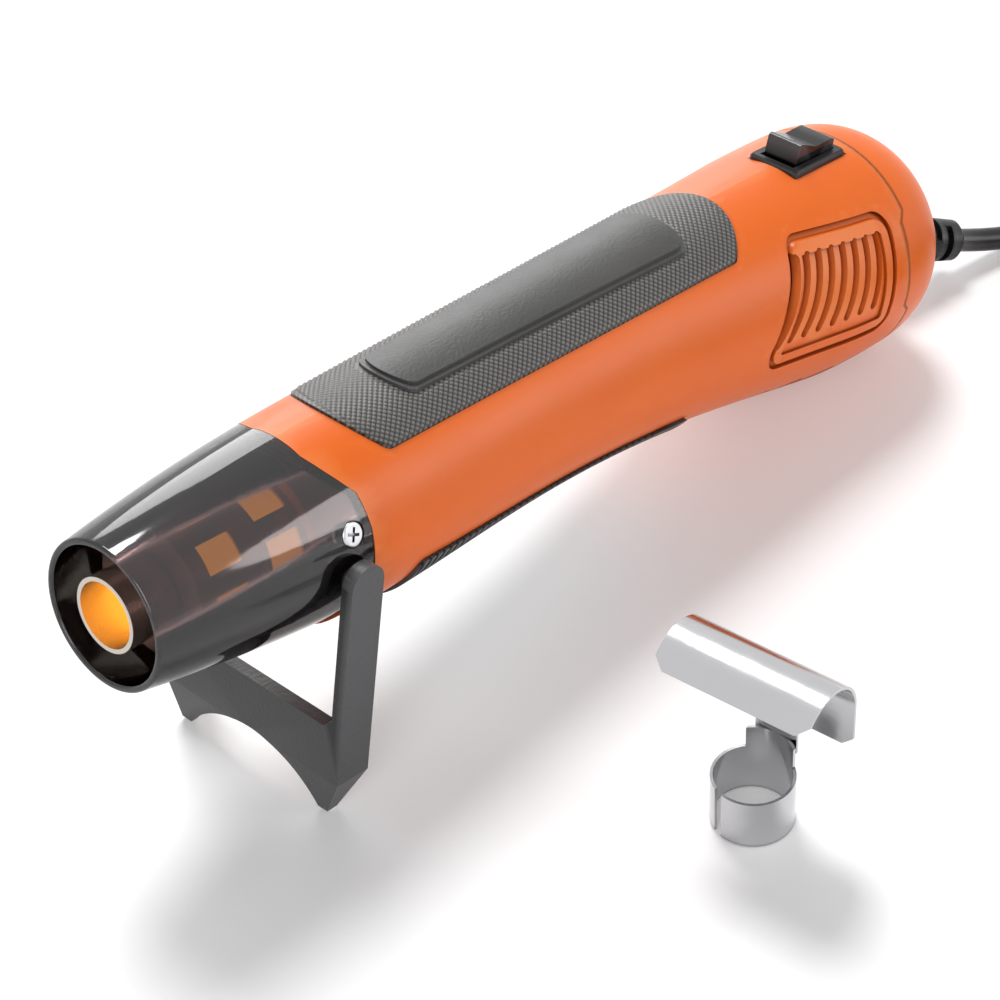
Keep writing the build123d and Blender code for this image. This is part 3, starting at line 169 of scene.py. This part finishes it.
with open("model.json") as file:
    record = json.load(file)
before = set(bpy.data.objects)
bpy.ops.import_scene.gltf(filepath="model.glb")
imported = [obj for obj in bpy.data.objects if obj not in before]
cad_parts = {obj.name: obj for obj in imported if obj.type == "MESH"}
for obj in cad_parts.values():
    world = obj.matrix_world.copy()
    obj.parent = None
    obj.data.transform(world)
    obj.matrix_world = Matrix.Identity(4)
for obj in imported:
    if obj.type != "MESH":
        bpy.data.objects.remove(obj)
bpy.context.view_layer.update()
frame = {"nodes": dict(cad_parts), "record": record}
nodes = frame["nodes"]


def linear(red, green, blue):
    """Colour of a photographed surface, from 0 to 255, as the renderer's own values."""
    values = []
    for value in (red, green, blue):
        share = value / 255
        values.append(share / 12.92 if share <= 0.04045 else ((share + 0.055) / 1.055) ** 2.4)
    return (*values, 1.0)


def scaled(color, share):
    """A darker or lighter colour of the same hue."""
    return (*(min(1, value * share) for value in color[:3]), 1)


def add_object(name, data):
    new = bpy.data.objects.new(name, data)
    bpy.context.scene.collection.objects.link(new)
    return new


def aim(looker, direction):
    """Turn a camera or a lamp so that it looks in a direction, upright."""
    looker.rotation_mode = "QUATERNION"
    looker.rotation_quaternion = Vector(direction).to_track_quat("-Z", "Y")


def smooth(mesh):
    for polygon in mesh.polygons:
        polygon.use_smooth = True


def add_camera():
    camera = add_object("camera", bpy.data.cameras.new("camera"))
    camera.data.lens = CAMERA_LENS
    camera.data.sensor_width = CAMERA_SENSOR
    camera.data.clip_start = CAMERA_NEAR
    azimuth, down = radians(CAMERA_AZIMUTH), radians(CAMERA_DOWN)
    aim(camera, (cos(down) * cos(azimuth), cos(down) * sin(azimuth), -sin(down)))
    roll = Quaternion((0, 0, 1), radians(-CAMERA_ROLL))
    camera.rotation_quaternion = camera.rotation_quaternion @ roll
    camera.location = CAMERA_AT
    bpy.context.scene.camera = camera


def coil_point(turn):
    """Middle of the coil's cord after some turns."""
    after = turn - COIL_LAYER_TURNS
    rise = min(max(after / COIL_RISE_TURNS, 0), 1)
    if after <= 0:
        radius = COIL_INNER - COIL_PITCH * after
    elif after <= COIL_RISE_TURNS:
        radius = COIL_INNER - COIL_PITCH / (2 * pi) * sin(2 * pi * after)
    else:
        radius = COIL_INNER + COIL_PITCH * (after - COIL_RISE_TURNS)
    centre_x = COIL_ENTRY[0] - COIL_INNER - COIL_PITCH * COIL_LAYER_TURNS
    angle = 2 * pi * turn
    height = COIL_FLOOR + COIL_PITCH * rise * rise * (3 - 2 * rise)
    return (centre_x + radius * cos(angle), COIL_ENTRY[1] - radius * sin(angle), height)


def cord_points():
    """The cord's route, the coil's turns and the lead to the plug."""
    count = int(COIL_LAST_TURN * COIL_STEPS)
    points = list(CORD_ROUTE) + [coil_point(n / COIL_STEPS) for n in range(count + 1)]
    last, before = Vector(points[-1]), Vector(points[-2])
    points.append(tuple(last + (last - before).normalized() * COIL_LEAD / 2))
    points.append((last.x - COIL_LEAD, last.y, last.z))
    return points


def add_cord():
    """One curve for the cord and its coil; its points' radius makes the thickness."""
    points = cord_points()
    data = bpy.data.curves.new("cord_line", "CURVE")
    data.dimensions = "3D"
    data.bevel_depth = 1
    data.bevel_resolution = CORD_SIDES
    data.use_fill_caps = True
    spline = data.splines.new("NURBS")
    spline.points.add(len(points) - 1)
    for point, place in zip(spline.points, points):
        point.co = (*place, 1)
        point.radius = CORD_DIAMETER / 2
    spline.order_u = 3
    spline.use_endpoint_u = True
    spline.resolution_u = CORD_STEPS
    cord = add_object("cord_line", data)
    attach(cord, "tool")
    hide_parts("cord", "cord_coil")
    return cord


def tool_frame():
    """Place of the tool: X from the mouth to the rear, Z up from its axis."""
    return Matrix.Translation(MOUTH) @ Matrix.Rotation(radians(PITCH), 4, "Y")


def knurl_height(along, around):
    """Height of the knurl from 0 to 1, where two slanted sets of ridges cross."""
    rising = sin(pi * (along + around) / KNURL_PITCH)
    falling = sin(pi * (along - around) / KNURL_PITCH)
    return abs(rising * falling)


def bare_point(grip, others, origin, inward):
    """Where a ray meets the grip, or None where it slips off or something else comes first."""
    place, normal, _, distance = grip.ray_cast(origin, inward)
    if place is None or normal.dot(inward) > -LEAST_FACING:
        return None
    hits = [other.ray_cast(origin, inward)[3] for other in others]
    if any(hit is not None and hit < distance for hit in hits):
        return None
    return place


def grip_surface():
    """The grip's bare outside on a grid: the point, the way out and the knurl's height there."""
    graph = bpy.context.evaluated_depsgraph_get()
    grip, *others = [
        BVHTree.FromObject(nodes[name], graph)
        for name in ("top_grip", "grip_panel", "left_shell", "right_shell")
    ]
    tool = tool_frame()
    inverse = tool.inverted()
    reach = [(inverse @ vertex.co).x for vertex in nodes["top_grip"].data.vertices]
    start = min(reach)
    columns = int((max(reach) - start) / KNURL_STEP) + 2
    rows = int(2 * radians(KNURL_SPAN) * KNURL_RADIUS / KNURL_STEP)
    bare = {}
    for row in range(rows):
        angle = radians(-KNURL_SPAN) + row * KNURL_STEP / KNURL_RADIUS
        outward = tool.to_3x3() @ Vector((0, sin(angle), cos(angle)))
        for column in range(columns):
            along = start + column * KNURL_STEP
            origin = tool @ Vector((along, 0, 0)) + outward * RAY_START
            place = bare_point(grip, others, origin, -outward)
            if place is not None:
                height = knurl_height(along, angle * KNURL_RADIUS)
                bare[row, column] = (place, outward, height)
    return bare


def is_inside(bare, row, column, rim):
    """Whether the grip is also bare some steps away on every side."""
    rows, columns = (row - rim, row, row + rim), (column - rim, column, column + rim)
    return all((near, beside) in bare for near in rows for beside in columns)


def add_knurl():
    """Skin of raised diamonds over the bare outside of the top grip."""
    bare = grip_surface()
    vertices = []
    index = {}
    for (row, column), (place, outward, height) in bare.items():
        if not is_inside(bare, row, column, KNURL_RIM):
            continue
        if not is_inside(bare, row, column, KNURL_RIM + 1):
            height = -KNURL_DIP
        index[row, column] = len(vertices)
        vertices.append(place + outward * height * KNURL_HEIGHT)
    faces = []
    for row, column in index:
        corners = [(row, column), (row, column + 1), (row + 1, column + 1), (row + 1, column)]
        if all(corner in index for corner in corners):
            faces.append([index[corner] for corner in corners])
    mesh = bpy.data.meshes.new("grip_knurl")
    mesh.from_pydata(vertices, [], faces)
    smooth(mesh)
    knurl = add_object("grip_knurl", mesh)
    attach(knurl, "tool")
    return knurl


class Nodes:
    """Short ways to add nodes to a tree."""

    def __init__(self, tree):
        self.tree = tree

    def node(self, kind, **settings):
        new = self.tree.nodes.new(kind)
        for key, value in settings.items():
            setattr(new, key, value)
        return new

    def link(self, source, target):
        self.tree.links.new(source, target)

    def math(self, operation, *values):
        """Outcome of an operation on numbers and sockets."""
        new = self.node("ShaderNodeMath", operation=operation)
        for socket, value in zip(new.inputs, values):
            if isinstance(value, (int, float)):
                socket.default_value = value
            else:
                self.link(value, socket)
        return new.outputs[0]

    def blend(self, first, second, share, blend_type="MIX"):
        """Colour between two colours, each a colour or a socket, by a share of the second."""
        mix = self.node("ShaderNodeMix", data_type="RGBA", blend_type=blend_type)
        for name, value in (("A", first), ("B", second), ("Factor", share)):
            if isinstance(value, (int, float, tuple)):
                mix.inputs[name].default_value = value
            else:
                self.link(value, mix.inputs[name])
        return mix.outputs["Result"]

    def seen_directly(self):
        """1 for what the camera, a mirror or clear plastic shows, 0 for light on the pieces."""
        path = self.node("ShaderNodeLightPath")
        seen = self.math("MAXIMUM", path.outputs["Is Camera Ray"], path.outputs["Is Glossy Ray"])
        return self.math("MAXIMUM", seen, path.outputs["Is Transmission Ray"])


class Shader(Nodes):
    """A new material with its principled shader."""

    def __init__(self, name, color, roughness, **inputs):
        self.material = bpy.data.materials.new(name)
        self.material.use_nodes = True
        super().__init__(self.material.node_tree)
        self.output = self.tree.nodes["Material Output"]
        self.base = self.tree.nodes["Principled BSDF"]
        self.color = color
        self.roughness = roughness
        self.base.inputs["Base Color"].default_value = color
        self.base.inputs["Roughness"].default_value = roughness
        for key, value in inputs.items():
            self.base.inputs[key.replace("_", " ")].default_value = value

    def place(self):
        """Point on the tool, as a vector: along it, across it and up from its axis."""
        coordinates = self.node("ShaderNodeTexCoord")
        mapping = self.node("ShaderNodeMapping", vector_type="TEXTURE")
        mapping.inputs["Location"].default_value = MOUTH
        mapping.inputs["Rotation"].default_value = (0, radians(PITCH), 0)
        self.link(coordinates.outputs["Object"], mapping.inputs["Vector"])
        return mapping.outputs[0]

    def apart(self, vector):
        """The three values of a vector."""
        values = self.node("ShaderNodeSeparateXYZ")
        self.link(vector, values.inputs[0])
        return values.outputs

    def noise(self, scale, detail=4, stretch=None):
        texture = self.node("ShaderNodeTexNoise")
        texture.inputs["Scale"].default_value = scale
        texture.inputs["Detail"].default_value = detail
        vector = self.place()
        if stretch:
            mapping = self.node("ShaderNodeMapping")
            mapping.inputs["Scale"].default_value = stretch
            self.link(vector, mapping.inputs["Vector"])
            vector = mapping.outputs[0]
        self.link(vector, texture.inputs["Vector"])
        return texture.outputs["Fac"]

    def bump(self, height, distance):
        bump = self.node("ShaderNodeBump")
        bump.inputs["Distance"].default_value = distance
        bump.inputs["Strength"].default_value = 1
        self.link(height, bump.inputs["Height"])
        self.link(bump.outputs[0], self.base.inputs["Normal"])

    def span(self, value, **ends):
        """A value moved from the span From Min, From Max to the span To Min, To Max."""
        span = self.node("ShaderNodeMapRange")
        for key, end in ends.items():
            span.inputs[key.replace("_", " ").title()].default_value = end
        self.link(value, span.inputs["Value"])
        return span.outputs[0]

    def vary_roughness(self, scale, spread):
        """Rougher and smoother patches."""
        least, most = self.roughness - spread, self.roughness + spread
        varied = self.span(self.noise(scale), to_min=least, to_max=most)
        self.link(varied, self.base.inputs["Roughness"])

    def vary_color(self, scale, other, share=0.5, worn=None):
        """Blend towards another colour in patches, and towards a worn colour on sharp edges."""
        patches = self.math("MULTIPLY", self.noise(scale), share)
        color = self.blend(self.color, other, patches)
        if worn:
            pointed = self.node("ShaderNodeNewGeometry").outputs["Pointiness"]
            wear = self.span(pointed, from_min=WORN_FROM, from_max=WORN_FULL, to_max=WORN_SHARE)
            color = self.blend(color, worn, wear)
        self.link(color, self.base.inputs["Base Color"])

    def shade(self, share):
        """Multiply the colour by a share from 0 to 1."""
        socket = self.base.inputs["Base Color"]
        color = self.blend(socket.links[0].from_socket, share, 1, blend_type="MULTIPLY")
        self.link(color, socket)

    def paint_gap_shade(self, distance):
        """Painted shade: darker colour in seams and grooves of about that width, where shade
        falls.
        """
        # Ambient occlusion paints shade into the colour of narrow gaps
        shade = self.node("ShaderNodeAmbientOcclusion", samples=GAP_SAMPLES)
        shade.inputs["Distance"].default_value = distance
        open_share = shade.outputs["AO"]
        self.shade(self.span(open_share, from_min=GAP_CLOSED, from_max=GAP_OPEN, to_min=GAP_SHADE))


def cap_groove(shader):
    """How deep a point lies in the groove before the rear cap, from 0 to 1."""
    along, _, up = shader.apart(shader.place())
    below_top = shader.math("SUBTRACT", CAP_JOG_TOP + CAP_JOG, up)
    above_bottom = shader.math("SUBTRACT", up, CAP_JOG_BOTTOM - CAP_JOG)
    jog = shader.math("MINIMUM", shader.math("MINIMUM", below_top, above_bottom), CAP_JOG)
    line = shader.math("SUBTRACT", CAP_SEAM, shader.math("MAXIMUM", jog, 0))
    away = shader.math("ABSOLUTE", shader.math("SUBTRACT", along, line))
    depth = shader.math("SUBTRACT", 1, shader.math("DIVIDE", away, CAP_GROOVE))
    return shader.math("MAXIMUM", depth, 0)


def orange_plastic():
    """The shells' plastic, with the groove before the rear cap and painted shade in it."""
    shader = Shader("orange_shell", linear(*SHELL_COLOR), 0.36, Specular_IOR_Level=0.3)
    shader.vary_color(60, linear(*SHELL_PATCHES), 0.7, worn=linear(*SHELL_WORN))
    # Painted shade in the shells' seams, vents and recesses
    shader.paint_gap_shade(0.0014)
    shader.vary_roughness(90, 0.05)
    groove = cap_groove(shader)
    grain = shader.math("MULTIPLY", shader.noise(1800, 2), SHELL_GRAIN)
    shader.bump(shader.math("SUBTRACT", grain, groove), CAP_GROOVE_DEPTH)
    # Painted shade in the cap groove, darkest at its middle
    shadow = shader.math("MULTIPLY", groove, CAP_GROOVE_SHADE)
    shader.shade(shader.math("SUBTRACT", 1, shadow))
    return shader.material


def smoked_plastic():
    """Dark clear plastic: it tints what is behind it and mirrors more towards its outline."""
    shader = Shader("smoked_cover", linear(*SMOKE_COLOR), 0.08)
    shader.vary_roughness(40, 0.03)
    clear = shader.node("ShaderNodeBsdfTransparent")
    clear.inputs["Color"].default_value = SMOKE_TINT
    body = shader.node("ShaderNodeMixShader")
    body.inputs["Fac"].default_value = SMOKE_SURFACE
    shader.link(clear.outputs[0], body.inputs[1])
    shader.link(shader.base.outputs[0], body.inputs[2])
    gloss = shader.node("ShaderNodeBsdfGlossy")
    gloss.inputs["Roughness"].default_value = SMOKE_ROUGHNESS
    facing = shader.node("ShaderNodeFresnel")
    facing.inputs["IOR"].default_value = SMOKE_IOR
    mix = shader.node("ShaderNodeMixShader")
    shader.link(facing.outputs[0], mix.inputs["Fac"])
    shader.link(body.outputs[0], mix.inputs[1])
    shader.link(gloss.outputs[0], mix.inputs[2])
    shader.link(mix.outputs[0], shader.output.inputs["Surface"])
    return shader.material


def knurled_rubber():
    """Black rubber with painted highlight on the diamonds' tops and painted shade in the valleys;
    the tops lie where add_knurl raises them.
    """
    shader = Shader("knurled_rubber", linear(*KNURL_BASE), 0.45)
    along, across, up = shader.apart(shader.place())
    around = shader.math("MULTIPLY", shader.math("ARCTAN2", across, up), KNURL_RADIUS)
    ridges = []
    for way in (1, -1):
        slant = shader.math("ADD", along, shader.math("MULTIPLY", around, way))
        wave = shader.math("SINE", shader.math("MULTIPLY", slant, pi / KNURL_PITCH))
        ridges.append(shader.math("ABSOLUTE", wave))
    height = shader.math("MULTIPLY", *ridges)
    shader.bump(shader.noise(1500, 2), 0.00003)
    # Painted highlight on the diamonds' tops, painted shade in the valleys between them
    color = shader.blend(linear(*KNURL_VALLEY_SHADE), linear(*KNURL_TOP_HIGHLIGHT), height)
    shader.link(color, shader.base.inputs["Base Color"])
    return shader.material


def plastic(name, color, roughness, grain, depth):
    """Plain plastic, rubber or ceramic with a grain, paler on its edges."""
    shader = Shader(name, linear(*color), roughness, Specular_IOR_Level=0.3)
    shader.vary_color(50, scaled(shader.color, 1.7), 0.8, worn=linear(*PLASTIC_WORN))
    shader.vary_roughness(120, 0.06)
    shader.bump(shader.noise(grain, 3), depth)
    return shader.material


def metal(name, color, roughness, stretch):
    """Metal with fine drawn lines, and painted shade in its gaps."""
    shader = Shader(name, linear(*color), roughness, Metallic=1.0)
    shader.vary_color(30, scaled(shader.color, 0.86))
    # Painted shade in the metal's gaps and recesses
    shader.paint_gap_shade(0.001)
    shader.bump(shader.noise(260, 3, stretch), 0.00001)
    shader.vary_roughness(200, 0.05)
    return shader.material


def painted_glow(name, color, glow, strength):
    """Piece of the heater with a painted glow: its emission stands in for the heater's light."""
    # Painted glow: emission on the heater's pieces
    shader = Shader(
        name, linear(*color), 0.7, Emission_Color=linear(*glow), Emission_Strength=strength
    )
    shader.bump(shader.noise(400, 3), 0.00005)
    shader.vary_color(80, scaled(shader.color, 0.6))
    return shader.material


def make_materials():
    """The materials by their slots in the record."""
    materials = {
        "orange_shell": orange_plastic(),
        "smoked_cover": smoked_plastic(),
        "knurled_rubber": knurled_rubber(),
    }
    for maker, looks in ((plastic, PLASTICS), (metal, METALS), (painted_glow, PAINTED_GLOW_PIECES)):
        for name, values in looks.items():
            materials[name] = maker(name, *values)
    return materials


def dress(materials, cord, knurl):
    """Give the pieces their materials and shade round surfaces round."""
    for part in frame["record"]["subparts"]:
        node = nodes[part["node"]]
        for slot in node.material_slots:
            slot.material = materials[part["material_slot"]]
        smooth(node.data)
        node.data.set_sharp_from_angle(angle=radians(SHARP_ANGLE))
    cord.data.materials.append(materials["cord_rubber"])
    knurl.data.materials.append(materials["knurled_rubber"])


def add_sun(name, place, spread, strength):
    light = add_object(name, bpy.data.lights.new(name, "SUN"))
    light.data.angle = radians(spread)
    light.data.energy = strength
    aim(light, -Vector(place))


def add_disc(name, place, target, size, power):
    light = add_object(name, bpy.data.lights.new(name, "AREA"))
    light.data.shape = "DISK"
    light.data.size = size
    light.data.energy = power
    light.location = place
    aim(light, Vector(target) - Vector(place))


def add_world():
    """White surroundings to look at, which light the pieces as a dim grey."""
    world = bpy.data.worlds.new("surroundings")
    bpy.context.scene.world = world
    world.use_nodes = True
    tree = Nodes(world.node_tree)
    color = tree.blend(WORLD_LIGHT, WHITE, tree.seen_directly())
    tree.link(color, world.node_tree.nodes["Background"].inputs["Color"])


def add_floor():
    """White floor that lights up a little for the camera and keeps the shadows."""
    bpy.ops.mesh.primitive_plane_add(size=FLOOR_SIZE, location=(0, 0, -FLOOR_DROP))
    floor = bpy.context.object
    floor.name = "floor"
    shader = Shader("floor", FLOOR_COLOR, FLOOR_ROUGHNESS, Emission_Color=WHITE)
    glow = shader.math("MULTIPLY", shader.seen_directly(), FLOOR_GLOW)
    shader.link(glow, shader.base.inputs["Emission Strength"])
    floor.data.materials.append(shader.material)


add_camera()
cord = add_cord()
knurl = add_knurl()
dress(make_materials(), cord, knurl)
add_sun(*SUN)
for disc in DISCS:
    add_disc(*disc)
add_world()
add_floor()
bpy.context.scene.view_settings.view_transform = "Standard"
